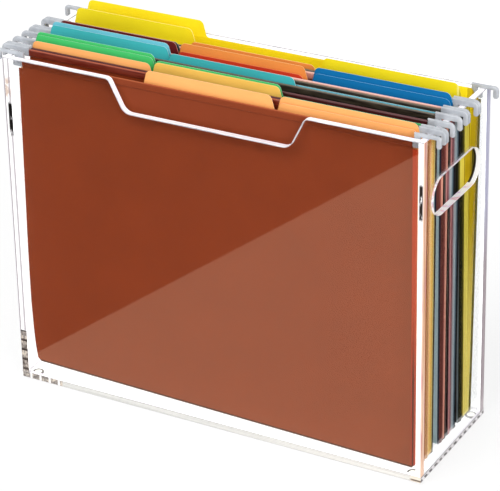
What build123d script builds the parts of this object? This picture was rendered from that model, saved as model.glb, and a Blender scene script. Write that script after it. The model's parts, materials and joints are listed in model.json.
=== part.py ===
from build123d import *
import os

# Clear box
box_length = 316.0
box_depth = 102.0
box_height = 249.5
wall = 4.8
base_thickness = 4.8
edge_break = 0.5

# Round pads under the corners
foot_diameter = 8.0
foot_height = 1.5
foot_inset = 9.0
foot_bevel = 0.6

# Notch in the front panel
notch_top_width = 147.0
notch_floor_width = 124.0
notch_depth = 23.0
notch_lip_round = 5.0
notch_floor_round = 8.0

# Handle slot in each end panel
slot_length = 73.0
slot_height = 27.0
slot_center_drop = 48.0

# Hanging folder jacket, one folded sheet of card
card = 0.5
jacket_side_gap = 3.8
jacket_floor_gap = 2.2
jacket_shoulder_drop = 8.0
fold_corner_cut = 2.6
channel_end_inset = 3.5
channel_height = 5.2
channel_thickness = 2.4
channel_wall = 0.5
channel_rise = 2.8

# Rod strip and the plastic-coated hook on each end
strip_play = 0.1
tongue_height = 0.8
tongue_overreach = 3.0
tongue_cover = 0.6
tip_thickness = 2.6
tip_rise = 4.3
tip_inner_gap = 1.2
tip_outer_gap = 5.2
tip_lip_thickness = 3.4
tip_lip_drop = 5.5
tip_crown_round = 4.5
tip_edge_round = 0.9
tip_channel_gap = 0.3
rest_gap = 0.3

# The frontmost and the backmost rod hang lower in their hooks than the others
low_rod_drop = 4.2
low_rod_tip_rise = 2.8

# The jackets and their files have slid this far to the right along the rods
sheet_shift = 1.6

# Rods front to back
front_rod_gap = 2.4
back_rod_gap = 3.0
neighbour_pitch = 3.0

# File folders, each one folded sheet with a tab on its back leaf
leaf = 0.4
leaf_gap = 0.3
file_gap = 0.35
head_gap = 0.3
file_side_inset = 0.4
file_front_drop = 7.5
tab_height = 11.5
tab_tip_rise = 10.0
tab_slant = 3.2
tab_crown_round = 4.0
tab_root_round = 2.5
file_head_round = 3.0

# Where a tab starts and ends, as parts of the sheet's width from its left end
tab_places = {
    "left": (0.0, 0.328),
    "center": (0.32, 0.654),
    "right": (0.653, 1.0),
}

# Where a jacket's floor stands: its back fold in front of the back rod, and for the
# loosely filled folder also the gap between its files
floor_inset = 0.9
loose_floor_inset = 6.8
loose_floor_gap = 2.1

# Derived faces and heights
outer_x = box_length / 2
inner_x = outer_x - wall
outer_y = box_depth / 2
inner_y = outer_y - wall
base_underside = foot_height
base_top = base_underside + base_thickness
rail_top = base_underside + box_height
throat_z = rail_top + rest_gap
slot_z = rail_top - slot_center_drop

jacket_half = inner_x - jacket_side_gap
jacket_bottom = base_top + jacket_floor_gap
channel_half = jacket_half - channel_end_inset
channel_mid = rail_top + channel_rise - channel_height / 2
strip_height = channel_height - 2 * channel_wall - 2 * strip_play
strip_thickness = channel_thickness - 2 * channel_wall - 2 * strip_play

file_half = jacket_half - file_side_inset
file_bottom = jacket_bottom + card + rest_gap
closed_file = 2 * leaf + leaf_gap

# The five hanging folders, front to back. The row leaves spare room between the front
# and back panels: room_share is the part of it that opens a folder wider than its closed
# files need, and what no folder takes is the empty stretch of rail. Each file has its
# tab's place, its tab's height over the rails as a part of tab_tip_rise, and the part of
# its folder's spare room that holds its own leaves apart
hanging_folders = [
    {
        "name": "hanging_folder_1",
        "room_share": 0.0,
        "floor_inset": floor_inset,
        "floor_gap": file_gap,
        "low_rods": (True, False),
        "files": [
            ("peach_center", "center", 0.70, 0.0),
            ("peach_right_front", "right", 0.24, 0.0),
            ("peach_right_back", "right", 0.64, 0.0),
        ],
    },
    {
        "name": "hanging_folder_2",
        "room_share": 0.006,
        "floor_inset": floor_inset,
        "floor_gap": file_gap,
        "low_rods": (False, False),
        "files": [
            ("peach_left", "left", 0.73, 0.0),
            ("mustard_center", "center", 0.85, 0.0),
            ("green_center", "center", 0.93, 0.0),
            ("green_left_front", "left", 1.01, 0.0),
            ("green_left_back", "left", 1.18, 0.0),
        ],
    },
    {
        "name": "hanging_folder_3",
        "room_share": 0.06,
        "floor_inset": floor_inset,
        "floor_gap": file_gap,
        "low_rods": (False, False),
        "files": [
            ("teal_center", "center", 0.72, 0.0),
            ("teal_left_front", "left", 1.03, 0.0),
            ("teal_left_back", "left", 1.22, 0.0),
        ],
    },
    {
        "name": "hanging_folder_4",
        "room_share": 0.066,
        "floor_inset": floor_inset,
        "floor_gap": file_gap,
        "low_rods": (False, False),
        "files": [
            ("orange_red_center", "center", 0.43, 0.0),
            ("dark_red_left", "left", 0.95, 0.0),
            ("orange_center_front", "center", 0.92, 0.0),
            ("slate_left", "left", 0.81, 0.0),
            ("blue_right_front", "right", 0.44, 0.0),
            ("blue_right_back", "right", 0.80, 0.0),
        ],
    },
    {
        "name": "hanging_folder_5",
        "room_share": 0.614,
        "floor_inset": loose_floor_inset,
        "floor_gap": loose_floor_gap,
        "low_rods": (False, True),
        "files": [
            ("orange_center_back", "center", 0.50, 0.0),
            ("yellow_right", "right", 1.03, 0.04),
            ("yellow_left_front", "left", 1.12, 0.04),
            ("yellow_left_back", "left", 1.15, 0.63),
        ],
    },
]

# The empty stretch of rail lies behind this many hanging folders
folders_before_empty_rail = 2


def prism_through_y(points, radii):
    """A closed outline in X and Z, carried right through the box along Y."""
    outline = FilletPolyline(*points, radius=radii, close=True)
    return extrude(Plane.XZ * make_face(outline), amount=box_depth, both=True)


def slab(points, radii, y_front, thickness):
    """A closed outline in X and Z, made a plate whose front face is at y_front."""
    outline = FilletPolyline(*points, radius=radii, close=True)
    plane = Plane.XZ.offset(-(y_front + thickness))
    return extrude(plane * make_face(outline), amount=thickness)


def leaning_sheet(y_low, z_low, y_high, z_high, thickness, half_width):
    """A flat sheet along X whose bottom and top edges stand at two places in Y and Z."""
    half = thickness / 2
    corners = [
        (y_low - half, z_low),
        (y_low + half, z_low),
        (y_high + half, z_high),
        (y_high - half, z_high),
    ]
    face = make_face(Polyline(*corners, close=True))
    return extrude(Plane.YZ * face, amount=half_width, both=True)


# The clear box


def base_panel():
    plate = Box(box_length, box_depth, base_thickness)
    plate = Pos(0, 0, base_underside + base_thickness / 2) * plate
    low_edges = plate.edges().group_by(Axis.Z)[0]
    return chamfer(low_edges, edge_break)


def notched_outline():
    top = notch_top_width / 2
    floor = notch_floor_width / 2
    notch_floor_z = rail_top - notch_depth
    points = [
        (-outer_x, base_top),
        (outer_x, base_top),
        (outer_x, rail_top),
        (top, rail_top),
        (floor, notch_floor_z),
        (-floor, notch_floor_z),
        (-top, rail_top),
        (-outer_x, rail_top),
    ]
    radii = [
        0,
        0,
        0,
        notch_lip_round,
        notch_floor_round,
        notch_floor_round,
        notch_lip_round,
        0,
    ]
    return points, radii


def broken_outer_edges(panel, outer_face_y, inner_face_y):
    """Break the long edges of the outer face, and those of the inner face at the top."""
    low = base_top + edge_break
    near = edge_break / 10
    outer = [
        e for e in panel.edges()
        if abs(e.center().Y - outer_face_y) < near and e.center().Z > low
    ]
    inner = [
        e for e in panel.edges()
        if abs(e.center().Y - inner_face_y) < near
        and e.center().Z > rail_top - notch_depth - edge_break
    ]
    return chamfer(outer + inner, edge_break)


def front_panel():
    points, radii = notched_outline()
    panel = slab(points, radii, -outer_y, wall)
    return broken_outer_edges(panel, -outer_y, -inner_y)


def back_panel():
    points = [
        (-outer_x, base_top),
        (outer_x, base_top),
        (outer_x, rail_top),
        (-outer_x, rail_top),
    ]
    panel = slab(points, [0, 0, 0, 0], inner_y, wall)
    return broken_outer_edges(panel, outer_y, inner_y)


def end_panel(x_inner):
    """An end panel between the front and back panels, with its handle slot."""
    height = rail_top - base_top
    plate = Rectangle(2 * inner_y, height)
    slot = SlotOverall(slot_length, slot_height)
    face = Pos(0, base_top + height / 2) * plate - Pos(0, slot_z) * slot
    panel = extrude(Plane.YZ.offset(x_inner) * face, amount=wall)
    rail_edges = [
        e for e in panel.edges().group_by(Axis.Z)[-1]
        if abs(e.center().Y) < inner_y / 2
    ]
    return chamfer(rail_edges, edge_break)


def foot(side_x, side_y):
    pad = Cylinder(foot_diameter / 2, foot_height)
    pad = chamfer(pad.edges().group_by(Axis.Z)[0], foot_bevel)
    x = side_x * (outer_x - foot_inset)
    y = side_y * (outer_y - foot_inset)
    return Pos(x, y, foot_height / 2) * pad


# Hanging folders


def closed_spread(folder):
    """The least distance between a hanging folder's rods that its closed files allow."""
    count = len(folder["files"])
    return channel_thickness + count * closed_file + (count + 1) * head_gap


def spare_room():
    """What the closed hanging folders leave free between the front and back panels."""
    closed = sum(closed_spread(folder) for folder in hanging_folders)
    pitches = (len(hanging_folders) - 1) * neighbour_pitch
    return 2 * inner_y - front_rod_gap - back_rod_gap - closed - pitches


def opened_by(folder):
    return spare_room() * folder["room_share"]


def rod_places():
    """Each hanging folder's front and back rod in Y, with the empty stretch of rail."""
    empty_rail = spare_room() - sum(opened_by(folder) for folder in hanging_folders)
    places = []
    y = -inner_y + front_rod_gap
    for index, folder in enumerate(hanging_folders):
        spread = closed_spread(folder) + opened_by(folder)
        places.append((y, y + spread))
        y = y + spread + neighbour_pitch
        if index + 1 == folders_before_empty_rail:
            y = y + empty_rail
    return places


def floor_places(folder, y_back_rod):
    """The centre lines in Y of the jacket's two leaves at its floor."""
    count = len(folder["files"])
    width = count * closed_file + (count + 1) * folder["floor_gap"] + card
    y_back = y_back_rod - folder["floor_inset"]
    return y_back - width, y_back


def rod_drops(folder):
    return [low_rod_drop if low else 0.0 for low in folder["low_rods"]]


def channel(y, drop):
    """The sheet's rolled edge: a tube round the rod strip, with a round top and bottom."""
    outer = SlotOverall(channel_height, channel_thickness, rotation=90)
    bore = Rectangle(
        channel_thickness - 2 * channel_wall,
        channel_height - 2 * channel_wall,
    )
    ring = Pos(y, channel_mid - drop) * (outer - bore)
    return extrude(Plane.YZ * ring, amount=channel_half, both=True)


def jacket_outline():
    """The sheet seen from the front: cut corners at the floor, shoulders at the top."""
    shoulder = rail_top - jacket_shoulder_drop
    cut = fold_corner_cut
    points = [
        (-jacket_half + cut, jacket_bottom),
        (jacket_half - cut, jacket_bottom),
        (jacket_half, jacket_bottom + cut),
        (jacket_half, shoulder),
        (channel_half, shoulder),
        (channel_half, rail_top + channel_height),
        (-channel_half, rail_top + channel_height),
        (-channel_half, shoulder),
        (-jacket_half, shoulder),
        (-jacket_half, jacket_bottom + cut),
    ]
    return prism_through_y(points, [0] * len(points))


def jacket(folder, rods):
    y_front_floor, y_back_floor = floor_places(folder, rods[1])
    drops = rod_drops(folder)
    floors = (y_front_floor, y_back_floor)
    sheet = None
    for y_rod, y_floor, drop in zip(rods, floors, drops):
        z_high = channel_mid - drop - channel_height / 2 + channel_wall / 2
        side = leaning_sheet(y_floor, jacket_bottom, y_rod, z_high, card, jacket_half)
        sheet = side if sheet is None else sheet + side
    floor_width = y_back_floor - y_front_floor + card
    floor_mid = (y_back_floor + y_front_floor) / 2
    floor = Box(2 * jacket_half, floor_width, card)
    sheet = sheet + Pos(0, floor_mid, jacket_bottom + card / 2) * floor
    sheet = sheet & jacket_outline()
    for y_rod, drop in zip(rods, drops):
        sheet = sheet + channel(y_rod, drop)
    return Pos(sheet_shift, 0, 0) * sheet


def hook_start(side):
    """How far out the hooks begin on one side: just beyond the jacket's channels."""
    return channel_half + side * sheet_shift + tip_channel_gap


def rod_end(side, drop, play):
    """One end of the strip seen from the front, with its tongue over the rail."""
    low = channel_mid - drop - strip_height / 2 - play
    high = channel_mid - drop + strip_height / 2 + play
    tongue_low = throat_z + tongue_cover - play
    tongue_high = throat_z + tongue_cover + tongue_height + play
    body_end = inner_x - tip_inner_gap - tongue_cover + play
    step = play if high > tongue_high else -play
    riser = hook_start(side) + tongue_cover + step
    tongue_end = outer_x + tongue_overreach + play
    return [
        (side * body_end, low),
        (side * body_end, tongue_low),
        (side * tongue_end, tongue_low),
        (side * tongue_end, tongue_high),
        (side * riser, tongue_high),
        (side * riser, high),
    ]


def rod_outline(drop, play):
    """The strip seen from the front, grown by the play."""
    return rod_end(1, drop, play) + rod_end(-1, drop, play)[::-1]


def rod(y, drop):
    points = rod_outline(drop, 0)
    return slab(points, [0] * len(points), y - strip_thickness / 2, strip_thickness)


def hook_outline(side, drop, rise):
    """One hook seen from the front, from the channel's end over the rail to its lip."""
    start = hook_start(side)
    shoulder = inner_x - tip_inner_gap
    lip_inner = outer_x + tip_outer_gap
    lip_outer = lip_inner + tip_lip_thickness
    lip_low = rail_top - tip_lip_drop
    low = channel_mid - drop - channel_height / 2
    high = rail_top + rise
    crown = min(tip_crown_round, rise - rest_gap + tip_lip_thickness - tip_edge_round)
    points = [
        (side * start, low),
        (side * shoulder, low),
        (side * shoulder, throat_z),
        (side * lip_inner, throat_z),
        (side * lip_inner, lip_low),
        (side * lip_outer, lip_low),
        (side * lip_outer, high),
        (side * start, high),
    ]
    return points, [0, 0, 0, 0, tip_edge_round, tip_edge_round, crown, 0]


def hook_tips(rods, drops, rises):
    """The four hooks of one hanging folder, each with a socket for the strip's end."""
    socket_thickness = strip_thickness + 2 * strip_play
    tips = []
    for y, drop, rise in zip(rods, drops, rises):
        outline = rod_outline(drop, strip_play)
        sharp = [0] * len(outline)
        socket = slab(outline, sharp, y - socket_thickness / 2, socket_thickness)
        for side in (1, -1):
            points, radii = hook_outline(side, drop, rise)
            hook = slab(points, radii, y - tip_thickness / 2, tip_thickness)
            tips.append(hook - socket)
    return tips


# File folders


def file_places(folder, rods):
    """For each file: the Y of its front and back leaf at the rods and at the floor."""
    files = folder["files"]
    mouths = [leaf_gap + opened_by(folder) * share for _, _, _, share in files]
    room = rods[1] - rods[0] - channel_thickness
    gap = (room - sum(2 * leaf + mouth for mouth in mouths)) / (len(files) + 1)
    y_high = rods[0] + channel_thickness / 2 + gap
    y_low = floor_places(folder, rods[1])[0] + card / 2 + folder["floor_gap"]
    places = []
    for mouth in mouths:
        front = (y_high + leaf / 2, y_low + leaf / 2)
        back = (y_high + mouth + 3 * leaf / 2, y_low + leaf_gap + 3 * leaf / 2)
        places.append((front, back))
        y_high = y_high + 2 * leaf + mouth + gap
        y_low = y_low + closed_file + folder["floor_gap"]
    return places


def tab_span(place):
    """The two ends in X of a tab's root."""
    return [2 * file_half * share - file_half for share in tab_places[place]]


def tabbed_outline(place, tip):
    start, end = tab_span(place)
    head = tip - tab_height
    points = file_foot()
    radii = [0] * len(points)
    points += [(file_half, head)]
    radii += [file_head_round]
    if place != "right":
        points += [(end, head)]
        radii += [tab_root_round]
    points += [(end - tab_slant, tip), (start + tab_slant, tip)]
    radii += [tab_crown_round, tab_crown_round]
    if place != "left":
        points += [(start, head)]
        radii += [tab_root_round]
    points += [(-file_half, head)]
    radii += [file_head_round]
    return prism_through_y(points, radii)


def file_foot():
    """The lower edge of a file's outline, with its corners cut at the fold."""
    return [
        (-file_half, file_bottom + fold_corner_cut),
        (-file_half + fold_corner_cut, file_bottom),
        (file_half - fold_corner_cut, file_bottom),
        (file_half, file_bottom + fold_corner_cut),
    ]


def plain_outline(head):
    points = file_foot() + [(file_half, head), (-file_half, head)]
    return prism_through_y(points, [0] * len(points))


def extended(y_rod, y_floor, z):
    """Where a leaf's line through its floor and rod places reaches a height."""
    share = (z - file_bottom) / (channel_mid - file_bottom)
    return y_floor + (y_rod - y_floor) * share


def file_folder(place, tip, front, back):
    front_leaf = leaning_sheet(
        front[1], file_bottom, extended(*front, tip), tip, leaf, file_half
    )
    back_leaf = leaning_sheet(
        back[1], file_bottom, extended(*back, tip), tip, leaf, file_half
    )
    fold_width = back[1] - front[1] + leaf
    fold = Box(2 * file_half, fold_width, leaf)
    fold = Pos(0, (back[1] + front[1]) / 2, file_bottom + leaf / 2) * fold
    plain = plain_outline(tip - tab_height - file_front_drop)
    tabbed = tabbed_outline(place, tip)
    sheet = (front_leaf & plain) + (back_leaf & tabbed) + (fold & plain)
    return Pos(sheet_shift, 0, 0) * sheet


def save(name, shape):
    export_step(shape, os.path.join("parts", name + ".step"))


def save_box():
    save("base_panel", base_panel())
    save("front_panel", front_panel())
    save("back_panel", back_panel())
    save("left_end_panel", end_panel(-outer_x))
    save("right_end_panel", end_panel(inner_x))
    save("foot_front_left", foot(-1, -1))
    save("foot_front_right", foot(1, -1))
    save("foot_back_left", foot(-1, 1))
    save("foot_back_right", foot(1, 1))


def save_hanging_folder(folder, rods):
    name = folder["name"]
    drops = rod_drops(folder)
    rises = [low_rod_tip_rise if low else tip_rise for low in folder["low_rods"]]
    save(name + "_jacket", jacket(folder, rods))
    save(name + "_front_rod", rod(rods[0], drops[0]))
    save(name + "_back_rod", rod(rods[1], drops[1]))
    save(name + "_hook_tips", Compound(children=hook_tips(rods, drops, rises)))
    places = file_places(folder, rods)
    for (file_name, place, rise, _), (front, back) in zip(folder["files"], places):
        tip = rail_top + tab_tip_rise * rise
        save("file_" + file_name, file_folder(place, tip, front, back))


os.makedirs("parts", exist_ok=True)
save_box()
for hanging_folder, rod_pair in zip(hanging_folders, rod_places()):
    save_hanging_folder(hanging_folder, rod_pair)
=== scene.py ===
"""A hanging file organizer: a clear acrylic box whose end panels carry loaded hanging folders."""
import json
import math

import bmesh
import bpy
from mathutils import Matrix, Vector


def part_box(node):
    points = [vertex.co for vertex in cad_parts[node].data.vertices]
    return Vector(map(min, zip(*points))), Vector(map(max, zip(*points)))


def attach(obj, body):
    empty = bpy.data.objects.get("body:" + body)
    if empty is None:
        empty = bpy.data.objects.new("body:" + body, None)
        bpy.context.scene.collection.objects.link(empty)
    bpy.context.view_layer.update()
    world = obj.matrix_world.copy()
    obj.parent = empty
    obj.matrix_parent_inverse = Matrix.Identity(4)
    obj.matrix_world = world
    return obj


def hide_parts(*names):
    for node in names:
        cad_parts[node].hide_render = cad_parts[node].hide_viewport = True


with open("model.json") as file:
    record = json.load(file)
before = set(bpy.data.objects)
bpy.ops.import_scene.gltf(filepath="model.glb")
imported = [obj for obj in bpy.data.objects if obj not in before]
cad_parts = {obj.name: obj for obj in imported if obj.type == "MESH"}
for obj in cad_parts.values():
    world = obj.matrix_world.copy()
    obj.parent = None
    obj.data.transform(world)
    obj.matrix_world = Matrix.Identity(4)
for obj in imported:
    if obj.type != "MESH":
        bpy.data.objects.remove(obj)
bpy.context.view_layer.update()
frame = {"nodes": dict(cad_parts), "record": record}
nodes = frame["nodes"]
slot_of = {part["node"]: part["material_slot"] for part in frame["record"]["subparts"]}
MM = 0.001


# How the finishes are built up. Shades are screen values from 0 to 255, and places on the object
# are in metres

WHITE = (255, 255, 255)


def linear(shade):
    """A shade as the linear colour that a shader takes."""
    out = []
    for value in shade:
        s = value / 255
        out.append(s / 12.92 if s <= 0.04045 else ((s + 0.055) / 1.055) ** 2.4)
    return (*out, 1.0)


def new_material(name):
    """A material with one plain shader: itself, its node tree, the shader and the output."""
    material = bpy.data.materials.new(name)
    material.use_nodes = True
    tree = material.node_tree
    tree.nodes.clear()
    output = tree.nodes.new("ShaderNodeOutputMaterial")
    shader = tree.nodes.new("ShaderNodeBsdfPrincipled")
    tree.links.new(shader.outputs["BSDF"], output.inputs["Surface"])
    return material, tree, shader, output


def put(tree, value, socket):
    """Link a socket to another one, or give it a plain value."""
    if isinstance(value, bpy.types.NodeSocket):
        tree.links.new(value, socket)
    else:
        socket.default_value = value


def add(tree, kind, inputs=None, **settings):
    """A node with its settings, its plain input values and its links."""
    node = tree.nodes.new("ShaderNode" + kind)
    for key, value in settings.items():
        setattr(node, key, value)
    for key, value in (inputs or {}).items():
        put(tree, value, node.inputs[key])
    return node


def object_place(tree, scale=(1, 1, 1)):
    """The place on the object, with each axis scaled."""
    place = add(tree, "TexCoord").outputs["Object"]
    return add(tree, "Mapping", {"Vector": place, "Scale": scale}).outputs["Vector"]


def coordinate(tree, letter):
    return add(tree, "SeparateXYZ", {"Vector": object_place(tree)}).outputs[letter]


def facing(tree, letter):
    """How far a surface faces along an axis, from -1 to 1."""
    normal = add(tree, "TexCoord").outputs["Normal"]
    return add(tree, "SeparateXYZ", {"Vector": normal}).outputs[letter]


def noise(tree, place, scale, detail, roughness=0.55):
    made = add(tree, "TexNoise", {
        "Vector": place, "Scale": scale, "Detail": detail, "Roughness": roughness})
    return made.outputs["Fac"]


def streaked(tree, scale, roughness=0.6):
    """Fine noise, drawn out along the axes that have a small scale."""
    return noise(tree, object_place(tree, scale), 1.0, 3.0, roughness)


def clouded(tree, scale):
    """Soft noise, drawn out along the axes that have a small scale."""
    return noise(tree, object_place(tree, scale), 1.0, 2.0)


def worked_out(tree, operation, first, second=0.0):
    return add(tree, "Math", {0: first, 1: second}, operation=operation).outputs[0]


def product(tree, first, second):
    return worked_out(tree, "MULTIPLY", first, second)


def between(tree, value, low, high, from_low=0.3, from_high=0.7):
    """Carry a value over from one range to another, and hold it there at both ends."""
    made = add(tree, "MapRange", {
        "Value": value, "From Min": from_low, "From Max": from_high, "To Min": low, "To Max": high})
    return made.outputs["Result"]


def rising(tree, value, start=0.3, end=0.7):
    """0 up to the start and 1 from the end on."""
    return between(tree, value, 0.0, 1.0, start, end)


def falling(tree, value, start, end):
    """1 up to the start and 0 from the end on."""
    return between(tree, value, 1.0, 0.0, start, end)


def within(tree, value, limits, soft):
    """1 where a value lies between two limits, with soft ends."""
    low, high = limits
    rises = rising(tree, value, low - soft, low + soft)
    return product(tree, rises, falling(tree, value, high - soft, high + soft))


def dashes(tree, value, share):
    """1 on the first share of each dash's period along a value, and 0 on its rest."""
    turns = worked_out(tree, "FRACT", product(tree, value, 1.0 / DASH_PERIOD))
    return falling(tree, turns, share - DASH_BLUR, share + DASH_BLUR)


def blended(tree, share, first, second):
    made = add(tree, "Mix", data_type="RGBA")
    for place, value in ((0, share), (6, first), (7, second)):
        put(tree, value, made.inputs[place])
    return made.outputs[2]


def two_tone(tree, grain, first, second, start=0.3, end=0.7):
    """The first shade where a grain is below the start, and the second where it is over the end."""
    return blended(tree, rising(tree, grain, start, end), linear(first), linear(second))


def painted(tree, colour, where, shade):
    """A colour, with a shade laid over it where a mask is 1."""
    return blended(tree, where, colour, linear(shade))


def set_finish(tree, shader, colour, grain, smoothest, roughest):
    """Give a shader its colour, and a roughness that follows its grain."""
    tree.links.new(colour, shader.inputs["Base Color"])
    tree.links.new(between(tree, grain, smoothest, roughest), shader.inputs["Roughness"])


def set_painted_glow(tree, shader, colour, strength):
    """A weak painted glow, which stands for light that leaves a clear sheet by its cut edge."""
    put(tree, colour, shader.inputs["Emission Color"])
    shader.inputs["Emission Strength"].default_value = strength


def set_relief(tree, shader, grain, strength, depth):
    bump = add(tree, "Bump", {"Height": grain, "Strength": strength, "Distance": depth})
    tree.links.new(bump.outputs["Normal"], shader.inputs["Normal"])


def show_mixed(tree, output, share, first, second):
    """Show the second shader by a share, and the first by the rest."""
    mix = add(tree, "MixShader", {0: share, 1: first, 2: second})
    tree.links.new(mix.outputs["Shader"], output.inputs["Surface"])


def colour_so_far(material):
    """A card's node tree, its colour as it is, and the socket that takes its colour."""
    tree = material.node_tree
    shader = next(node for node in tree.nodes if node.type == "BSDF_PRINCIPLED")
    socket = shader.inputs["Base Color"]
    return tree, socket.links[0].from_socket, socket


# Card

# How far a card's colour strays to each side, how much its fibres show, and half the width in
# which one painted shade of a margin runs into the next, in millimetres
MOTTLE = 0.05
FIBRE = 0.02
MARGIN_BLUR = 0.25


def cut_edge(tree):
    """1 on a sheet's cut edges, whose normals lie along the sheet, and 0 on its two faces."""
    return falling(tree, worked_out(tree, "ABSOLUTE", facing(tree, "Y")), 0.3, 0.8)


def card(name, face, edge):
    """Coloured card: mottled, with fine fibres, and a paler cut edge."""
    material, tree, shader, _ = new_material(name)
    shader.inputs["Specular IOR Level"].default_value = 0.2
    cloud = noise(tree, object_place(tree), 26.0, 5.0)
    fibres = noise(tree, object_place(tree, (1.0, 1.0, 2.2)), 1800.0, 3.0, 0.7)
    base = linear(face)[:3]
    deep = (*(c * (1 - MOTTLE) for c in base), 1.0)
    pale = (*(min(1.0, c * (1 + MOTTLE)) for c in base), 1.0)
    ground = blended(tree, rising(tree, cloud), deep, pale)
    flecked = painted(tree, ground, between(tree, fibres, 0.0, FIBRE, 0.45, 0.8), edge)
    colour = painted(tree, flecked, cut_edge(tree), edge)
    set_finish(tree, shader, colour, fibres, 0.54, 0.7)
    set_relief(tree, shader, fibres, 0.05, 0.00005)
    return material


def card_with_painted_margin(name, shades, painted_margins):
    """Card with painted light and shade in its right margin: each shade starts at a place in X and
    goes on.
    """
    material = card(name, *shades)
    tree, colour, socket = colour_so_far(material)
    for start, shade in painted_margins:
        begun = rising(
            tree, coordinate(tree, "X"), (start - MARGIN_BLUR) * MM, (start + MARGIN_BLUR) * MM)
        colour = painted(tree, colour, begun, shade)
    tree.links.new(colour, socket)
    return material


def rolled_card(name, side, top):
    """A jacket's rolled edge round its rod: smoother and glossier, with a painted top highlight."""
    material, tree, shader, _ = new_material(name)
    wear = noise(tree, object_place(tree, (0.15, 1.0, 1.0)), 420.0, 4.0)
    # The top shade is a painted highlight: along the crest, which faces up to the light, and in
    # patches that follow the wear noise
    lit_crest = rising(tree, facing(tree, "Z"), 0.55, 0.95)
    wear_and_sheen = painted(tree, linear(side), between(tree, wear, 0.0, 0.35), top)
    set_finish(tree, shader, painted(tree, wear_and_sheen, lit_crest, top), wear, 0.3, 0.45)
    return material


# Clear sheets and their edges

# The end panels' outer faces, the pads' centres, and how far round its centre a pad is pale
OUTER_X = 0.158
PAD_X, PAD_Y = 0.149, 0.042
PAD_MIDDLE = (0.0028, 0.0030)

# The dashes in the clear corners: their period, and how soft they end as a share of it
DASH_PERIOD = 0.0078
DASH_BLUR = 0.06

# In the end panels' front edges, painted refraction: the heights at which the handle slot shows
# as a dark streak, how much lower that is at the right, and how deep it lies in from each outer
# face
SLOT_HEIGHTS = (0.193, 0.218)
SLOT_LOWER_AT_RIGHT = 0.0035
RIGHT_STREAK, LEFT_STREAK = (0.0006, 0.0032), (0.0027, 0.0062)

# In the left one alone, also painted refraction: a beige patch over the streak, dark marks up
# from the foot, and two thin rims, the outer one ending and the inner one lying so deep in from
# the outer face
BEIGE_HEIGHTS = (0.222, 0.236)
MARKS_TOP = (0.0398, 0.0406)
OUTER_RIM_END = (0.0011, 0.0015)
INNER_RIM = (0.0040, 0.0054)

# The left side ends at the first of these places in X, and the right one starts at the second
MIDDLE = (-0.01, 0.01)

# The slot's dark arc: how far back it starts, and how far out it ends
ARC_START = (0.0262, 0.0268)
ARC_END = (0.1546, 0.1552)

# The base's front edge in X: how far out on the left its marks start and how far they reach from
# there, where the right corner's finish starts, and where the far shade, painted darker, turns
# into the paler near one. Then the heights of its band and of the right corner's dark line. All
# these marks are painted refraction
MARKS_START = 0.1575
MARKS_REACH = (0.033, 0.034)
CORNER_START = (0.1495, 0.1515)
FAR_TO_NEAR = (-0.02, 0.12)
FRONT_BAND = (0.0019, 0.0060)
CORNER_LINE = (0.0026, 0.0038)

# The base's end edges: the heights of the band and of the dashes in it
END_BAND = (0.0021, 0.0056)
END_DASHES = (0.0024, 0.0046)

# Where the back panel's upright edge turns from mauve to lilac
MAUVE_TO_LILAC = (0.12, 0.17)


def acrylic(name):
    """Clear polished sheet. The lamps' light goes through it to the folders inside."""
    material, tree, shader, output = new_material(name)
    shader.inputs["Base Color"].default_value = (0.995, 1.0, 1.0, 1.0)
    shader.inputs["Transmission Weight"].default_value = 1.0
    shader.inputs["IOR"].default_value = 1.49
    polish = noise(tree, object_place(tree), 60.0, 3.0)
    tree.links.new(between(tree, polish, 0.0, 0.02), shader.inputs["Roughness"])
    clear = add(tree, "BsdfTransparent", {"Color": (0.96, 0.97, 0.97, 1.0)})
    shadow = add(tree, "LightPath").outputs["Is Shadow Ray"]
    show_mixed(tree, output, shadow, shader.outputs["BSDF"], clear.outputs["BSDF"])
    return material


def sawn_edge(name, axis):
    """Satin cut edge of a clear sheet: near white, faint saw streaks, and a painted glow."""
    material, tree, shader, _ = new_material(name)
    scale = [14.0, 14.0, 14.0]
    scale[axis] = 700.0
    streaks = streaked(tree, scale)
    tint = clouded(tree, [s * 0.7 for s in scale])
    white = two_tone(tree, tint, WHITE, (236, 226, 238), 0.45, 0.7)
    colour = painted(tree, white, between(tree, streaks, 0.0, 0.6, 0.6, 0.85), (190, 184, 192))
    set_finish(tree, shader, colour, streaks, 0.3, 0.5)
    set_painted_glow(tree, shader, linear(WHITE), 0.2)
    return material


def refraction_patches(tree, scale):
    """Painted grey, beige and black patches, as a clear corner's refraction shows them."""
    patches = streaked(tree, scale, 0.7)
    grey = two_tone(tree, patches, (70, 62, 60), (150, 142, 136), 0.35, 0.5)
    return painted(tree, grey, rising(tree, patches, 0.52, 0.64), (214, 202, 186))


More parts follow.
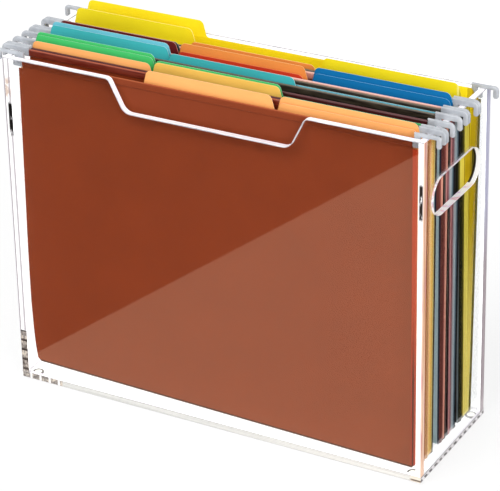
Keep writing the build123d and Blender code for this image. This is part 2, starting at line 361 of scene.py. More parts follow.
def upright_edge(name):
    """An end panel's front edge through the front panel, with the slot in it as a painted dark
    streak.
    """
    material, tree, shader, _ = new_material(name)
    height, across = coordinate(tree, "Z"), coordinate(tree, "X")
    depth = worked_out(tree, "SUBTRACT", OUTER_X, worked_out(tree, "ABSOLUTE", across))
    left = falling(tree, across, *MIDDLE)
    streaks = streaked(tree, (700.0, 14.0, 14.0))
    blots = streaked(tree, (500.0, 14.0, 160.0))

    lowered = between(tree, across, 0.0, SLOT_LOWER_AT_RIGHT, *MIDDLE)
    seen_height = worked_out(tree, "SUBTRACT", height, lowered)
    right_place = within(tree, depth, RIGHT_STREAK, 0.0004)
    left_place = within(tree, depth, LEFT_STREAK, 0.0004)
    place = blended(tree, left, right_place, left_place)
    streak = product(tree, within(tree, seen_height, SLOT_HEIGHTS, 0.0012), place)
    streak = product(tree, streak, rising(tree, blots, 0.32, 0.42))
    ground = two_tone(tree, streaks, WHITE, (206, 198, 208), 0.56, 0.8)
    colour = painted(tree, ground, streak, (12, 8, 8))

    beige = within(tree, height, BEIGE_HEIGHTS, 0.002)
    beige = product(tree, beige, rising(tree, blots, 0.42, 0.5))
    colour = painted(tree, colour, product(tree, beige, left), (206, 186, 172))

    foot = product(tree, falling(tree, height, *MARKS_TOP), left)
    patches = refraction_patches(tree, (420.0, 14.0, 260.0))
    marks = painted(tree, patches, dashes(tree, height, 0.24), (58, 50, 48))
    colour = blended(tree, foot, colour, marks)

    outer_rim = falling(tree, depth, *OUTER_RIM_END)
    inner_rim = product(tree, within(tree, depth, INNER_RIM, 0.0003), 0.8)
    rims = worked_out(tree, "MAXIMUM", outer_rim, inner_rim)
    bare = worked_out(tree, "SUBTRACT", 1.0, worked_out(tree, "MAXIMUM", streak, foot))
    rims = product(tree, product(tree, rims, bare), left)
    colour = painted(tree, colour, rims, (152, 142, 150))
    set_finish(tree, shader, colour, streaks, 0.25, 0.4)
    set_painted_glow(tree, shader, colour, 0.1)
    return material


def bonded_edge(name):
    """An end panel's back edge, bonded to the back panel: it shows as clear white, by a painted
    glow.
    """
    material, tree, shader, _ = new_material(name)
    streaks = streaked(tree, (700.0, 14.0, 14.0))
    white = two_tone(tree, streaks, WHITE, (240, 236, 242), 0.5, 0.8)
    set_finish(tree, shader, white, streaks, 0.2, 0.35)
    set_painted_glow(tree, shader, linear(WHITE), 0.5)
    return material


def slot_wall(name):
    """The handle slot's wall: white with lilac and pink patches, and a dark arc at its back end, in
    painted refraction.
    """
    material, tree, shader, _ = new_material(name)
    out = worked_out(tree, "ABSOLUTE", coordinate(tree, "X"))
    patches = streaked(tree, (160.0, 260.0, 260.0))
    tints = clouded(tree, (120.0, 170.0, 170.0))
    tint = two_tone(tree, tints, (204, 190, 212), (222, 182, 186), 0.45, 0.55)
    colour = blended(tree, rising(tree, patches, 0.5, 0.6), linear((252, 251, 252)), tint)
    back_end = rising(tree, coordinate(tree, "Y"), *ARC_START)
    colour = painted(tree, colour, back_end, (246, 249, 255))
    arc = product(tree, back_end, falling(tree, out, *ARC_END))
    colour = painted(tree, colour, arc, (16, 10, 8))
    set_finish(tree, shader, colour, patches, 0.2, 0.35)
    set_painted_glow(tree, shader, colour, 0.25)
    return material


def base_front_edge(name):
    """The base's front edge through the front panel, in painted refraction: a pale grey band of
    fine lines, painted darker towards the left, with marks towards its left end, and beige with a
    dark line at its right corner."""
    material, tree, shader, _ = new_material(name)
    across, height = coordinate(tree, "X"), coordinate(tree, "Z")
    lines = streaked(tree, (9.0, 9.0, 2600.0))
    near = two_tone(tree, lines, (231, 228, 222), (203, 200, 195), 0.4, 0.62)
    far = two_tone(tree, lines, (222, 221, 217), (190, 190, 186), 0.4, 0.62)
    band = blended(tree, rising(tree, across, *FAR_TO_NEAR), far, near)
    in_band = within(tree, height, FRONT_BAND, 0.0002)
    colour = blended(tree, in_band, linear((178, 176, 173)), band)

    right_corner = rising(tree, across, *CORNER_START)
    colour = painted(tree, colour, right_corner, (234, 222, 206))
    line = product(tree, right_corner, within(tree, height, CORNER_LINE, 0.0003))
    colour = painted(tree, colour, line, (104, 86, 72))

    from_end = worked_out(tree, "ADD", across, MARKS_START)
    patches = refraction_patches(tree, (330.0, 9.0, 420.0))
    marks = blended(tree, dashes(tree, from_end, 0.78), linear((250, 248, 246)), patches)
    marked = product(tree, falling(tree, from_end, *MARKS_REACH), in_band)
    colour = blended(tree, marked, colour, marks)
    set_finish(tree, shader, colour, lines, 0.25, 0.4)
    return material


def base_end_edge(name):
    """The base's end edge through an end panel, in painted refraction: dark dashes between two grey
    lines.
    """
    material, tree, shader, _ = new_material(name)
    depth, height = coordinate(tree, "Y"), coordinate(tree, "Z")
    grain = streaked(tree, (9.0, 300.0, 700.0))
    drift = product(tree, clouded(tree, (9.0, 70.0, 9.0)), 0.005)
    pale = two_tone(tree, grain, (188, 182, 186), (240, 236, 238))
    dark = two_tone(tree, grain, (44, 38, 40), (104, 96, 98))
    slanted = worked_out(tree, "ADD", depth, product(tree, height, 0.9))
    slanted = worked_out(tree, "ADD", slanted, drift)
    dashed = product(tree, dashes(tree, slanted, 0.52), within(tree, height, END_DASHES, 0.0003))
    band = blended(tree, dashed, pale, dark)
    colour = blended(tree, within(tree, height, END_BAND, 0.0002), linear((98, 92, 96)), band)
    set_finish(tree, shader, colour, grain, 0.25, 0.4)
    return material


def back_upright_edge(name):
    """The back panel's upright edge in painted refraction: lilac grey above, mauve grey below,
    finely streaked.
    """
    material, tree, shader, _ = new_material(name)
    bands = streaked(tree, (1.0, 1100.0, 7.0))
    upper = two_tone(tree, bands, (172, 172, 198), (214, 212, 228), 0.4, 0.6)
    lower = two_tone(tree, bands, (164, 152, 157), (188, 177, 181), 0.4, 0.6)
    colour = blended(tree, rising(tree, coordinate(tree, "Z"), *MAUVE_TO_LILAC), lower, upper)
    set_finish(tree, shader, colour, bands, 0.15, 0.3)
    return material


def tinted_edge(name):
    """The front panel's right cut edge, painted in the colours that light carries to it from the
    card behind.
    """
    material, tree, shader, _ = new_material(name)
    bands = streaked(tree, (1.0, 900.0, 9.0))
    patches = clouded(tree, (1.0, 260.0, 22.0))
    peach = two_tone(tree, bands, (226, 168, 128), (246, 216, 196), 0.4, 0.62)
    colour = painted(tree, peach, rising(tree, patches, 0.52, 0.6), (216, 160, 150))
    set_finish(tree, shader, colour, bands, 0.15, 0.35)
    return material


def edge_break(name):
    """The narrow bevel along a clear sheet's cut edge, painted as the thin grey line that
    refraction makes of it.
    """
    material, tree, shader, _ = new_material(name)
    broken = noise(tree, object_place(tree), 90.0, 3.0)
    colour = two_tone(tree, broken, (168, 166, 172), (226, 225, 230))
    set_finish(tree, shader, colour, broken, 0.15, 0.3)
    return material


def clear_pad(name):
    """A round pad of clear rubber, painted pale with a painted glow and a darker rim, as refraction
    shows it.
    """
    material, tree, shader, _ = new_material(name)
    grain = noise(tree, object_place(tree), 700.0, 2.0)
    squares = []
    for letter, centre in (("X", PAD_X), ("Y", PAD_Y)):
        out = worked_out(tree, "ABSOLUTE", coordinate(tree, letter))
        aside = worked_out(tree, "SUBTRACT", out, centre)
        squares.append(product(tree, aside, aside))
    radius = worked_out(tree, "SQRT", worked_out(tree, "ADD", *squares))
    middle = two_tone(tree, grain, (240, 238, 232), (252, 251, 248))
    colour = painted(tree, middle, rising(tree, radius, *PAD_MIDDLE), (58, 48, 42))
    set_finish(tree, shader, colour, grain, 0.22, 0.4)
    set_painted_glow(tree, shader, colour, 0.35)
    set_relief(tree, shader, grain, 0.1, 0.0001)
    return material


# Rods and hooks


def steel(name):
    """Brushed steel strip."""
    material, tree, shader, _ = new_material(name)
    shader.inputs["Metallic"].default_value = 1.0
    brushed = noise(tree, object_place(tree, (1.0, 30.0, 30.0)), 120.0, 3.0)
    colour = blended(
        tree, rising(tree, brushed), (0.42, 0.43, 0.44, 1.0), (0.62, 0.63, 0.64, 1.0))
    set_finish(tree, shader, colour, brushed, 0.28, 0.45)
    return material


def hook_plastic(name):
    """Glossy pale grey plastic."""
    material, tree, shader, _ = new_material(name)
    grain = noise(tree, object_place(tree), 160.0, 3.0)
    colour = two_tone(tree, grain, (170, 174, 181), (196, 200, 206))
    set_finish(tree, shader, colour, grain, 0.1, 0.2)
    set_relief(tree, shader, grain, 0.05, 0.0001)
    return material


# The shades of the face and the cut edge of each card
CARDS = {
    "brown_card": ((131, 54, 22), (182, 96, 58)),
    "maroon_card": ((52, 12, 16), (116, 72, 74)),
    "black_card": ((26, 20, 18), (124, 116, 104)),
    "salmon_card": ((205, 140, 122), (240, 196, 184)),
    "peach_card": ((248, 173, 101), (252, 214, 170)),
    "mustard_card": ((244, 198, 92), (252, 232, 170)),
    "green_card": ((66, 190, 104), (178, 222, 192)),
    "teal_card": ((66, 186, 192), (192, 224, 228)),
    "orange_red_card": ((200, 54, 26), (240, 140, 104)),
    "dark_red_card": ((100, 20, 24), (228, 156, 142)),
    "orange_card": ((242, 146, 68), (255, 210, 146)),
    "slate_card": ((52, 74, 76), (160, 170, 172)),
    "blue_card": ((0, 114, 176), (142, 196, 230)),
    "yellow_card": ((246, 224, 24), (255, 248, 160)),
}
# The one file whose card is paler than the others of its colour
OWN_SHADES = {"file_teal_left_back": ((112, 196, 214), (204, 230, 234))}
# The shades of the side of each jacket's rolled edge, and of the painted highlight on its top
ROLLS = {
    "brown_card": ((92, 18, 8), (172, 82, 52)),
    "maroon_card": ((58, 8, 14), (92, 34, 36)),
    "black_card": ((14, 10, 8), (112, 98, 78)),
    "salmon_card": ((214, 146, 130), (238, 190, 176)),
}
# Painted light and shade in the right margins that show past the sheets in front: bright strips,
# dark shadows in the gaps between sheets, and colours reflected from the sheets nearby. Each shade,
# and where it starts in X, in millimetres
MARGIN_LIGHT_AND_SHADE = {
    "hanging_folder_1_front": [(147.7, (172, 48, 26)), (148.5, (76, 4, 2)), (149.9, (176, 58, 40))],
    "hanging_folder_2_front": [(148.6, (244, 184, 130))],
    "hanging_folder_2_back": [(149.4, (70, 52, 44))],
    "hanging_folder_3_front": [
        (144.4, (206, 230, 236)), (147.6, (44, 52, 70)), (149.0, (124, 66, 58))],
    "hanging_folder_4_front": [(148.0, (40, 14, 18)), (150.0, (220, 152, 150))],
    "hanging_folder_4_back": [(149.2, (30, 26, 30))],
    "hanging_folder_5_front": [(147.6, (120, 132, 138)), (148.8, (30, 30, 14))],
    "hanging_folder_5_back": [(149.0, (120, 110, 34))],
    "file_yellow_right": [
        (146.8, (250, 236, 120)), (148.4, (206, 182, 30)), (149.6, (236, 220, 90))],
    "file_yellow_left_front": [
        (147.6, (248, 232, 110)), (148.8, (206, 180, 26)), (149.6, (232, 214, 80))],
    "file_yellow_left_back": [(146.0, (206, 180, 20)), (149.4, (182, 156, 24))],
    "file_green_center": [(149.2, (240, 198, 100))],
    "file_green_left_front": [(149.2, (226, 176, 84))],
    "file_green_left_back": [(149.2, (206, 190, 124))],
    "file_teal_center": [(149.2, (130, 56, 52))],
    "file_teal_left_front": [(149.2, (214, 148, 128))],
    "file_teal_left_back": [(149.2, (228, 164, 144))],
    "file_orange_red_center": [(149.2, (112, 36, 44))],
    "file_dark_red_left": [(149.2, (158, 120, 126))],
    "file_orange_center_front": [(149.2, (160, 168, 172))],
    "file_slate_left": [(149.2, (176, 184, 188))],
    "file_blue_right_front": [(149.2, (128, 148, 158))],
    "file_blue_right_back": [(149.2, (62, 80, 92))],
    "file_orange_center_back": [(148.6, (92, 84, 14))],
}
materials = {slot: card(slot, *shades) for slot, shades in CARDS.items()}
rolls = {slot: rolled_card(slot + "_roll", *shades) for slot, shades in ROLLS.items()}
sheet_edges = [sawn_edge("sawn_edge_" + letter, axis) for axis, letter in enumerate("xyz")]
broken_edge = edge_break("edge_break")
panel_finishes = {
    "tinted": tinted_edge("tinted_edge"),
    "upright": upright_edge("upright_edge"),
    "bonded": bonded_edge("bonded_edge"),
    "slot": slot_wall("slot_wall"),
    "base_front": base_front_edge("base_front_edge"),
    "base_end": base_end_edge("base_end_edge"),
    "back_upright": back_upright_edge("back_upright_edge"),
}
materials["clear_acrylic"] = acrylic("clear_acrylic")
materials["clear_pad"] = clear_pad("clear_pad")
materials["steel_strip"] = steel("steel_strip")
materials["hook_plastic"] = hook_plastic("hook_plastic")

for name, node in nodes.items():
    node.data.materials.clear()
    node.data.materials.append(materials[slot_of[name]])


# Pieces

# Faces smaller than this, in square metres, are shaded smooth
BROAD_FACE = 0.005
# Edges that turn by more than this, in degrees, are cut edges
SHARP_TURN = 50.0
# Points closer than this, in metres, are one point
SAME_PLACE = 1e-6
# A face whose normal has this much of an axis faces along it
STRAIGHT = 0.9


def merged_copy(node_name):
    """A node's mesh as one joined shell with whole faces."""
    shell = bmesh.new()
    shell.from_mesh(nodes[node_name].data)
    bmesh.ops.remove_doubles(shell, verts=shell.verts, dist=SAME_PLACE)
    bmesh.ops.dissolve_limit(
        shell, angle_limit=math.radians(0.5), verts=shell.verts, edges=shell.edges)
    return shell


def finished(shell, name, body, made_of, smooth_angle):
    """The shell as an object that moves with a body."""
    mesh = bpy.data.meshes.new(name)
    shell.normal_update()
    shell.to_mesh(mesh)
    shell.free()
    if "custom_normal" in mesh.attributes:
        mesh.attributes.remove(mesh.attributes["custom_normal"])
    for material in made_of:
        mesh.materials.append(material)
    mesh.polygons.foreach_set("use_smooth", [face.area < BROAD_FACE for face in mesh.polygons])
    mesh.set_sharp_from_angle(angle=math.radians(smooth_angle))
    piece = bpy.data.objects.new(name, mesh)
    bpy.context.scene.collection.objects.link(piece)
    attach(piece, body)
    return piece


def rounded(shell, edges, width, segments):
    bmesh.ops.bevel(
        shell, geom=edges, offset=width, offset_type="OFFSET", affect="EDGES", segments=segments,
        profile=0.5, clamp_overlap=True, material=-1)


def sharp_edges(shell):
    limit = math.radians(SHARP_TURN)
    return [e for e in shell.edges if len(e.link_faces) == 2 and e.calc_face_angle() > limit]


def cut_through(shell, place, normal):
    """New edges where a plane meets a shell, with nothing taken away."""
    everything = shell.verts[:] + shell.edges[:] + shell.faces[:]
    bmesh.ops.bisect_plane(shell, geom=everything, plane_co=place, plane_no=normal)


# Panels

# The axis across each clear panel
PANEL_AXIS = {
    "front_panel": 1, "back_panel": 1, "left_end_panel": 0, "right_end_panel": 0, "base_panel": 2}
# The base's upper face, and where a wall bonded behind a face starts to show in it
BASE_TOP = 0.0063
LEFT_JOINT, RIGHT_JOINT = -0.1522, 0.1541
BACK_JOINT = 0.0446
# Cut edges farther out than this are a panel's upright ones
UPRIGHT_EDGE = 0.15
# The part of an end panel that only the slot's wall crosses
SLOT_HALF_LENGTH = 0.04
SLOT_BAND = (0.15, 0.23)
# How much of its normal a face has across the panel: over the first it is one of the two broad
# faces, under the second a cut edge, and a bevel lies between
FACE_SHARE, EDGE_SHARE = 0.95, 0.3


def joint_finish(node_name, face):
    """The finish of an outer face's strip with another sheet's edge behind it, or nothing."""
    place, normal = face.calc_center_median(), face.normal
    if node_name == "front_panel" and normal.y < -STRAIGHT:
        if not LEFT_JOINT < place.x < RIGHT_JOINT:
            return "upright"
        return "base_front" if place.z < BASE_TOP else None
    if node_name.endswith("end_panel") and place.z < BASE_TOP and normal.x * place.x > 0:
        return "base_end"
    if node_name == "right_end_panel" and place.y > BACK_JOINT and normal.x > STRAIGHT:
        return "back_upright"
    return None


def cut_at_joints(node_name, shell):
    """Divide a panel's faces where the edges bonded behind them start."""
    planes = [((0, 0, BASE_TOP), (0, 0, 1))]
    if node_name == "front_panel":
        planes += [((LEFT_JOINT, 0, 0), (1, 0, 0)), ((RIGHT_JOINT, 0, 0), (1, 0, 0))]
    if node_name == "right_end_panel":
        planes += [((0, BACK_JOINT, 0), (0, 1, 0))]
    for place, normal in planes:
        cut_through(shell, place, normal)


def edge_finish(node_name, face):
    """The finish of a clear sheet's cut edge, where it isn't the plain sawn one."""
    place, normal = face.calc_center_median(), face.normal
    if node_name == "base_panel":
        return "base_end" if abs(normal.x) > STRAIGHT else "base_front"
    if node_name.endswith("end_panel"):
        if abs(place.y) < SLOT_HALF_LENGTH and SLOT_BAND[0] < place.z < SLOT_BAND[1]:
            return "slot"
        return "bonded" if abs(normal.y) > STRAIGHT else None
    if normal.x > EDGE_SHARE and place.x > UPRIGHT_EDGE:
        return "tinted" if node_name == "front_panel" else "back_upright"
    if normal.x < -STRAIGHT and place.x < -UPRIGHT_EDGE:
        return "bonded"
    return None


def add_panel(node_name):
    """A clear sheet with satin cut edges and a thin bevel between edge and face."""
    axis = PANEL_AXIS[node_name]
    shell = merged_copy(node_name)
    plain = [materials["clear_acrylic"], sheet_edges[axis], broken_edge]
    clear_face, sawn, bevel = range(len(plain))
    order = {key: len(plain) + place for place, key in enumerate(panel_finishes)}
    if node_name in ("front_panel", "left_end_panel", "right_end_panel"):
        cut_at_joints(node_name, shell)
    for face in shell.faces:
        along = abs(face.normal[axis])
        if along > FACE_SHARE:
            face.material_index = order.get(joint_finish(node_name, face), clear_face)
        else:
            otherwise = sawn if along < EDGE_SHARE else bevel
            face.material_index = order.get(edge_finish(node_name, face), otherwise)
    made_of = [*plain, *panel_finishes.values()]
    piece = finished(shell, node_name + "_sheet", "box", made_of, 35.0)
    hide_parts(node_name)


# Sheets. Places on them are in millimetres

FRONT_FOLDER = "hanging_folder_1"
FRONT_FILES = ("file_peach_center", "file_peach_right_front", "file_peach_right_back")
JACKET_RIGHT = 151.0
# How far use has rounded a sheet's edges
WORN_EDGE = 0.14

# The front folder hangs a little askew: its lower left corner is raised, less and less up to the
# height where it hangs straight, and its left edge is bent. For each height, LEFT_EDGE says how
# far the edge moves in X, and only what lies left of LEFT_MARGIN moves so
CORNER_RISE = 6.6
STRAIGHT_FROM = 150.0
LEFT_MARGIN = -140.0
LEFT_EDGE = [
    (250.0, 0.0), (150.0, -1.5), (100.0, -2.3), (60.0, -2.4), (35.0, -1.7), (20.0, -0.8),
    (12.0, 0.2), (0.0, 1.4)]

# The painted shadow line where the front sheet folds under: how high its upper edge starts and
# ends over the jacket's lowest place, and the share of the corner's rise that it follows
FOLD_SHADOW_EDGE = (1.1, 1.7)
FOLD_RISE = 0.94
# The painted side light on that sheet's margin higher up: where it starts in X and in Z, its
# strength
BRIGHT_MARGIN = (147.6, 148.1)
BRIGHT_FROM = (75.0, 130.0)
BRIGHT_STRENGTH = 0.85
# The yellow sheets' margin, painted lighter towards the foot: where it starts in X, where it
# ends in Z, and its strength
PALE_MARGIN = (145.6, 146.2)
PALE_UP_TO = (60.0, 160.0)
PALE_STRENGTH = 0.9

# How far a jacket's roll reaches down under its rod, how far in from the jacket's ends the rolls
# end, and how large a flat face, in square metres, is one of the sheet's own
ROLL_COVER = 0.8
ROLL_END_INSET = 3.4
SHEET_FACE = 1e-3


def hang_askew(shell):
    """Raise a sheet's lower left corner and bend its left edge, in the sheet's own plane."""
    for height, _ in LEFT_EDGE[1:-1]:
        cut_through(shell, (0, 0, height * MM), (0, 0, 1))
    for vert in shell.verts:
        x, z = vert.co.x / MM, vert.co.z / MM
        for (upper, first), (lower, second) in zip(LEFT_EDGE, LEFT_EDGE[1:]):
            if lower <= z < upper and x < LEFT_MARGIN:
                vert.co.x += (second + (first - second) * (z - lower) / (upper - lower)) * MM
        hanging = max(0.0, 1.0 - z / STRAIGHT_FROM)
        share = hanging * (JACKET_RIGHT - x) / (2 * JACKET_RIGHT)
        vert.co.z += CORNER_RISE * share * MM


def shade_fold(material, lowest):
    """A painted shadow line where the front sheet folds under, and painted side light higher up on
    its right margin.
    """
    tree, colour, socket = colour_so_far(material)
    across, height = coordinate(tree, "X"), coordinate(tree, "Z")
    side_light = rising(tree, across, *(place * MM for place in BRIGHT_MARGIN))
    side_light = product(tree, side_light, rising(tree, height, *(place * MM for place in BRIGHT_FROM)))
    side_light = product(tree, side_light, BRIGHT_STRENGTH)
    colour = painted(tree, colour, side_light, (196, 66, 28))

    from_right = worked_out(tree, "SUBTRACT", JACKET_RIGHT * MM, across)
    risen = product(tree, from_right, FOLD_RISE * CORNER_RISE / (2 * JACKET_RIGHT))
    over_edge = worked_out(tree, "SUBTRACT", height, risen)
    fold_shadow = falling(tree, over_edge, *(lowest + place * MM for place in FOLD_SHADOW_EDGE))
    tree.links.new(painted(tree, colour, fold_shadow, (66, 30, 16)), socket)


def pale_foot(material):
    """A yellow sheet's right margin, with painted light that makes it paler towards the foot."""
    tree, colour, socket = colour_so_far(material)
    margin = rising(tree, coordinate(tree, "X"), *(place * MM for place in PALE_MARGIN))
    low, high = (place * MM for place in PALE_UP_TO)
    foot = between(tree, coordinate(tree, "Z"), PALE_STRENGTH, 0.0, low, high)
    fine = clouded(tree, (1600.0, 9.0, 2.0))
    pale = two_tone(tree, fine, (255, 242, 140), (244, 216, 78), 0.45, 0.6)
    tree.links.new(blended(tree, product(tree, margin, foot), colour, pale), socket)


def add_file(node_name):
    """A file folder whose cut edges are slightly rounded by use."""
    shell = merged_copy(node_name)
    rounded(shell, sharp_edges(shell), WORN_EDGE * MM, 2)
    if node_name in FRONT_FILES:
        hang_askew(shell)
    slot = slot_of[node_name]
    shades = OWN_SHADES.get(node_name, CARDS[slot])
    own_card = card_with_painted_margin(node_name + "_shade", shades, MARGIN_LIGHT_AND_SHADE.get(node_name, []))
    if slot == "yellow_card":
        pale_foot(own_card)
    body = node_name[len("file_"):]
    piece = finished(shell, node_name + "_card", body, [own_card], 30.0)
    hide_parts(node_name)


def add_jacket(folder):
    """A hanging folder's jacket, with its rolled edges in their own finish."""
    node_name = folder + "_jacket"
    shell = merged_copy(node_name)
    front_low, front_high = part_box(folder + "_front_rod")
    back_low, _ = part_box(folder + "_back_rod")
    roll_foot = min(front_low[2], back_low[2]) - ROLL_COVER * MM
    between_rods = (front_high[1] + back_low[1]) / 2
    left, right = (corner[0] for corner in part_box(node_name))
    middle = (left + right) / 2
    roll_half = (right - left) / 2 - ROLL_END_INSET * MM
    front_card, roll, back_card = range(3)
    for face in shell.faces:
        place = face.calc_center_median()
        at_front = place.y < between_rods
        flat = abs(face.normal.y) > STRAIGHT and face.calc_area() > SHEET_FACE
        rolled = place.z > roll_foot and abs(place.x - middle) < roll_half and not flat
        plain = folder == FRONT_FOLDER and at_front
        leaf = front_card if at_front else back_card
        face.material_index = roll if rolled and not plain else leaf
    if folder == FRONT_FOLDER:
        hang_askew(shell)
    slot = slot_of[node_name]
    front, back = (
        card_with_painted_margin(folder + leaf, CARDS[slot], MARGIN_LIGHT_AND_SHADE.get(folder + leaf, []))
        for leaf in ("_front", "_back"))
    if folder == FRONT_FOLDER:
        shade_fold(front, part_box(node_name)[0][2])
    piece = finished(shell, folder + "_card", folder, [front, rolls[slot], back], 30.0)
    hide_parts(node_name)


# Hooks. Places are in millimetres, outwards from the box's middle and up from the desk

RAIL_TOP = 251.0
RAIL_GAP = 0.3
HOOK_START = {-1: 144.6, 1: 147.8}
HOOK_SHOULDER = 152.0
HOOK_THROAT, HOOK_REACH = 163.2, 166.6
LIP_DROP = 5.5
HOOK_LOW = RAIL_TOP - LIP_DROP
HOOK_HALF_THICKNESS = 1.3
# How far a hook covers its strip below, and its crown's height over the rail: a hook whose foot
# lies more than LOW_FOOT under the rail has the lower one
STRIP_COVER = 0.6
LOW_FOOT = 4.0
CROWN, LOW_CROWN = 4.3, 2.8
CROWN_ROUND, LIP_ROUND, RIM_ROUND = 4.4, 1.5, 0.75
# How far from the lip's foot and its inner side an edge may lie and still be one of the lip's
NEAR = 0.1


def is_along_y(edge):
    first, second = (v.co for v in edge.verts)
    return abs(first.x - second.x) < SAME_PLACE and abs(first.z - second.z) < SAME_PLACE


def at_corner(edge, x, z):
    place = edge.verts[0].co
    return abs(place.x - x * MM) < SAME_PLACE and abs(place.z - z * MM) < SAME_PLACE


def at_lip(edge):
    place = edge.verts[0].co
    low = place.z < (HOOK_LOW + NEAR) * MM
    return low and abs(place.x) > (HOOK_THROAT - NEAR) * MM


def hook(shell, side, y, low, high):
    """A plastic hook over one rail, with a full crown and soft edges."""
    start, throat = HOOK_START[side], RAIL_TOP + RAIL_GAP
    outline = [
        (start, low), (HOOK_SHOULDER, low), (HOOK_SHOULDER, throat), (HOOK_THROAT, throat),
        (HOOK_THROAT, HOOK_LOW), (HOOK_REACH, HOOK_LOW), (HOOK_REACH, high), (start, high)]
    part = bmesh.new()
    y_front = (y - HOOK_HALF_THICKNESS) * MM
    corners = [part.verts.new((side * x * MM, y_front, z * MM)) for x, z in outline]
    grown = bmesh.ops.extrude_face_region(part, geom=[part.faces.new(corners)])
    moved = [v for v in grown["geom"] if isinstance(v, bmesh.types.BMVert)]
    bmesh.ops.translate(part, verts=moved, vec=(0, 2 * HOOK_HALF_THICKNESS * MM, 0))
    bmesh.ops.recalc_face_normals(part, faces=part.faces)
    crown = [e for e in part.edges if is_along_y(e) and at_corner(e, side * HOOK_REACH, high)]
    rounded(part, crown, min(CROWN_ROUND, high - throat) * MM, 8)
    lip = [e for e in part.edges if is_along_y(e) and at_lip(e)]
    rounded(part, lip, LIP_ROUND * MM, 5)
    rims = [e for e in sharp_edges(part) if not is_along_y(e)]
    rounded(part, rims, RIM_ROUND * MM, 4)
    mesh = bpy.data.meshes.new("hook_blank")
    part.to_mesh(mesh)
    part.free()
    shell.from_mesh(mesh)
    bpy.data.meshes.remove(mesh)


def add_hooks(folder):
    """The four plastic hooks on the ends of a hanging folder's two rods."""
    shell = bmesh.new()
    for rod in ("_front_rod", "_back_rod"):
        low_corner, high_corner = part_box(folder + rod)
        y = (low_corner[1] + high_corner[1]) / 2 / MM
        low = low_corner[2] / MM - STRIP_COVER
        crown = LOW_CROWN if low < RAIL_TOP - LOW_FOOT else CROWN
        for side in (-1, 1):
            hook(shell, side, y, low, RAIL_TOP + crown)
    made_of = [materials["hook_plastic"]]
    piece = finished(shell, folder + "_hooks", folder, made_of, 35.0)
    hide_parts(folder + "_hook_tips")


for panel_name in PANEL_AXIS:
    add_panel(panel_name)
for name in nodes:
    if name.startswith("file_"):
        add_file(name)
    if name.endswith("_jacket"):
        add_jacket(name[:-len("_jacket")])
        add_hooks(name[:-len("_jacket")])


# Stage: a white floor, soft light from everywhere, two broad lamps, and three cards that show
# only as reflections in the clear panels

FLOOR_HALF = 20.0
# How bright the floor's own white is, how much of the floor shows as that white and not as lit by
# the lamps, and how much more of it does through a clear panel
FLOOR_WHITE = 1.06
FLOOR_SHARE, FLOOR_SHARE_THROUGH = 0.7, 0.25
# How bright the floor and the background are behind a clear panel, which takes some of it away
THROUGH_GLASS = 1.42
# How bright the soft light from everywhere is
AMBIENT = 0.62
# How high over the floor the two flat cards lie
CARD_HEIGHT = 0.001


def flat_corners(left, right, front, back, height):
    outline = ((left, front), (right, front), (right, back), (left, back))
    return [(x, y, height) for x, y in outline]


def upright_corners(near, far, top):
    return [(*near, 0.0), (*far, 0.0), (*far, top), (*near, top)]


def stage_sheet(name, corners, material):
    mesh = bpy.data.meshes.new(name)
    mesh.from_pydata(corners, [], [(0, 1, 2, 3)])
    mesh.materials.append(material)
    sheet = bpy.data.objects.new(name, mesh)
    bpy.context.scene.collection.objects.link(sheet)
    return sheet


def looked_at(tree, path):
    """1 for a ray that shows something: straight, mirrored or through a clear sheet."""
    seen = worked_out(
        tree, "MAXIMUM", path.outputs["Is Camera Ray"], path.outputs["Is Glossy Ray"])
    return worked_out(tree, "MAXIMUM", seen, path.outputs["Is Transmission Ray"])


def unbounced(tree, path):
    """0 for light that goes on to light a surface, also through the clear panels, and else 1."""
    return falling(tree, path.outputs["Diffuse Depth"], 0.4, 0.6)


def add_floor():
    material, tree, shader, output = new_material("floor_white")
    shader.inputs["Base Color"].default_value = (0.9, 0.9, 0.9, 1.0)
    shader.inputs["Roughness"].default_value = 0.9
    shader.inputs["Specular IOR Level"].default_value = 0.0
    path = add(tree, "LightPath")
    transmitted = path.outputs["Is Transmission Ray"]
    strength = between(tree, transmitted, FLOOR_WHITE, THROUGH_GLASS, 0.0, 1.0)
    glow = add(tree, "Emission", {"Color": (1, 1, 1, 1), "Strength": strength})
    share = worked_out(
        tree, "ADD", product(tree, looked_at(tree, path), FLOOR_SHARE),
        product(tree, transmitted, FLOOR_SHARE_THROUGH))
    share = product(tree, share, unbounced(tree, path))
    show_mixed(tree, output, share, shader.outputs["BSDF"], glow.outputs["Emission"])
    corners = flat_corners(-FLOOR_HALF, FLOOR_HALF, -FLOOR_HALF, FLOOR_HALF, 0)
    floor = stage_sheet("floor", corners, material)


def add_world():
    world = bpy.data.worlds.new("studio")
    bpy.context.scene.world = world
    world.use_nodes = True
    tree = world.node_tree
    tree.nodes.clear()
    path = add(tree, "LightPath")
    direct = unbounced(tree, path)
    shown = product(tree, looked_at(tree, path), direct)
    through = product(tree, path.outputs["Is Transmission Ray"], direct)
    strength = worked_out(
        tree, "ADD", between(tree, shown, AMBIENT, 1.0, 0.0, 1.0),
        between(tree, through, 0.0, THROUGH_GLASS - 1.0, 0.0, 1.0))
    background = add(tree, "Background", {"Color": (1, 1, 1, 1), "Strength": strength})
    output = add(tree, "OutputWorld")
    tree.links.new(background.outputs["Background"], output.inputs["Surface"])


def add_lamp(name, direction, strength, spread):
    """A sun lamp that shines from a direction, as soft as its spread in degrees."""
    lamp = bpy.data.lights.new(name, "SUN")
    lamp.energy = strength
    lamp.angle = math.radians(spread)
    sun = bpy.data.objects.new(name, lamp)
    bpy.context.scene.collection.objects.link(sun)
    sun.rotation_euler = Vector(direction).to_track_quat("Z", "Y").to_euler()


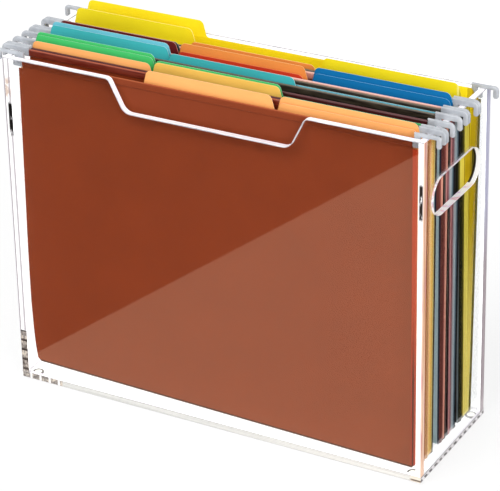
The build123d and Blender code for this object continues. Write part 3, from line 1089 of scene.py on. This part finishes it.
def add_reflected_card(name, corners, colour):
    """A card beside the object, seen only in the clear panels' reflections and never through
    the panels."""
    material, tree, _, output = new_material(name)
    path = add(tree, "LightPath")
    mirrored = rising(tree, path.outputs["Glossy Depth"], 0.4, 0.6)
    unseen = add(tree, "BsdfTransparent")
    glow = add(tree, "Emission", {"Color": colour})
    show_mixed(tree, output, mirrored, unseen.outputs["BSDF"], glow.outputs["Emission"])
    sheet = stage_sheet(name, corners, material)
    sheet.visible_camera = False
    sheet.visible_diffuse = False
    sheet.visible_shadow = False


DARK = (0.0, 0.0, 0.0, 1.0)
WARM = (0.95, 0.66, 0.46, 1.0)
add_floor()
add_world()
add_lamp("key", (-0.15, -0.6, 0.8), 1.3, 35.0)
add_lamp("side", (0.8, -0.55, 0.3), 1.4, 40.0)
add_reflected_card(
    "left_dark_card", upright_corners((-0.172, -0.067), (-0.025, -0.687), 0.6), DARK)
add_reflected_card(
    "right_dark_card", flat_corners(0.168, 0.75, -0.05, 0.95, CARD_HEIGHT), DARK)
add_reflected_card("warm_card", flat_corners(-0.5, 0.4, -1.2, -0.06, CARD_HEIGHT), WARM)


# Camera at the photograph's place: its angles in degrees, and its distance from the place that
# it looks at in metres

AZIMUTH, ELEVATION, ROLL = 30.254, 25.723, -1.666
DISTANCE = 1.7614
TARGET = Vector((-0.02712, 0.0, 0.16012))
SENSOR_WIDTH, FOCAL_LENGTH = 36.0, 184.8
SHIFT_X, SHIFT_Y = 0.08, -0.12


def add_camera():
    data = bpy.data.cameras.new("camera")
    data.sensor_width = SENSOR_WIDTH
    data.lens = FOCAL_LENGTH
    data.shift_x = SHIFT_X
    data.shift_y = SHIFT_Y
    data.clip_start = 0.05
    data.clip_end = 100.0
    camera = bpy.data.objects.new("camera", data)
    bpy.context.scene.collection.objects.link(camera)
    a, e, roll = (math.radians(v) for v in (AZIMUTH, ELEVATION, ROLL))
    back = Vector((math.sin(a) * math.cos(e), -math.cos(a) * math.cos(e), math.sin(e)))
    right = (-back).cross(Vector((0, 0, 1))).normalized()
    up = right.cross(-back)
    turned_right = right * math.cos(roll) + up * math.sin(roll)
    turned_up = up * math.cos(roll) - right * math.sin(roll)
    turn = Matrix((turned_right, turned_up, back)).transposed().to_4x4()
    camera.matrix_world = Matrix.Translation(TARGET + back * DISTANCE) @ turn
    bpy.context.scene.camera = camera


add_camera()
scene = bpy.context.scene
scene.view_settings.view_transform = "Standard"
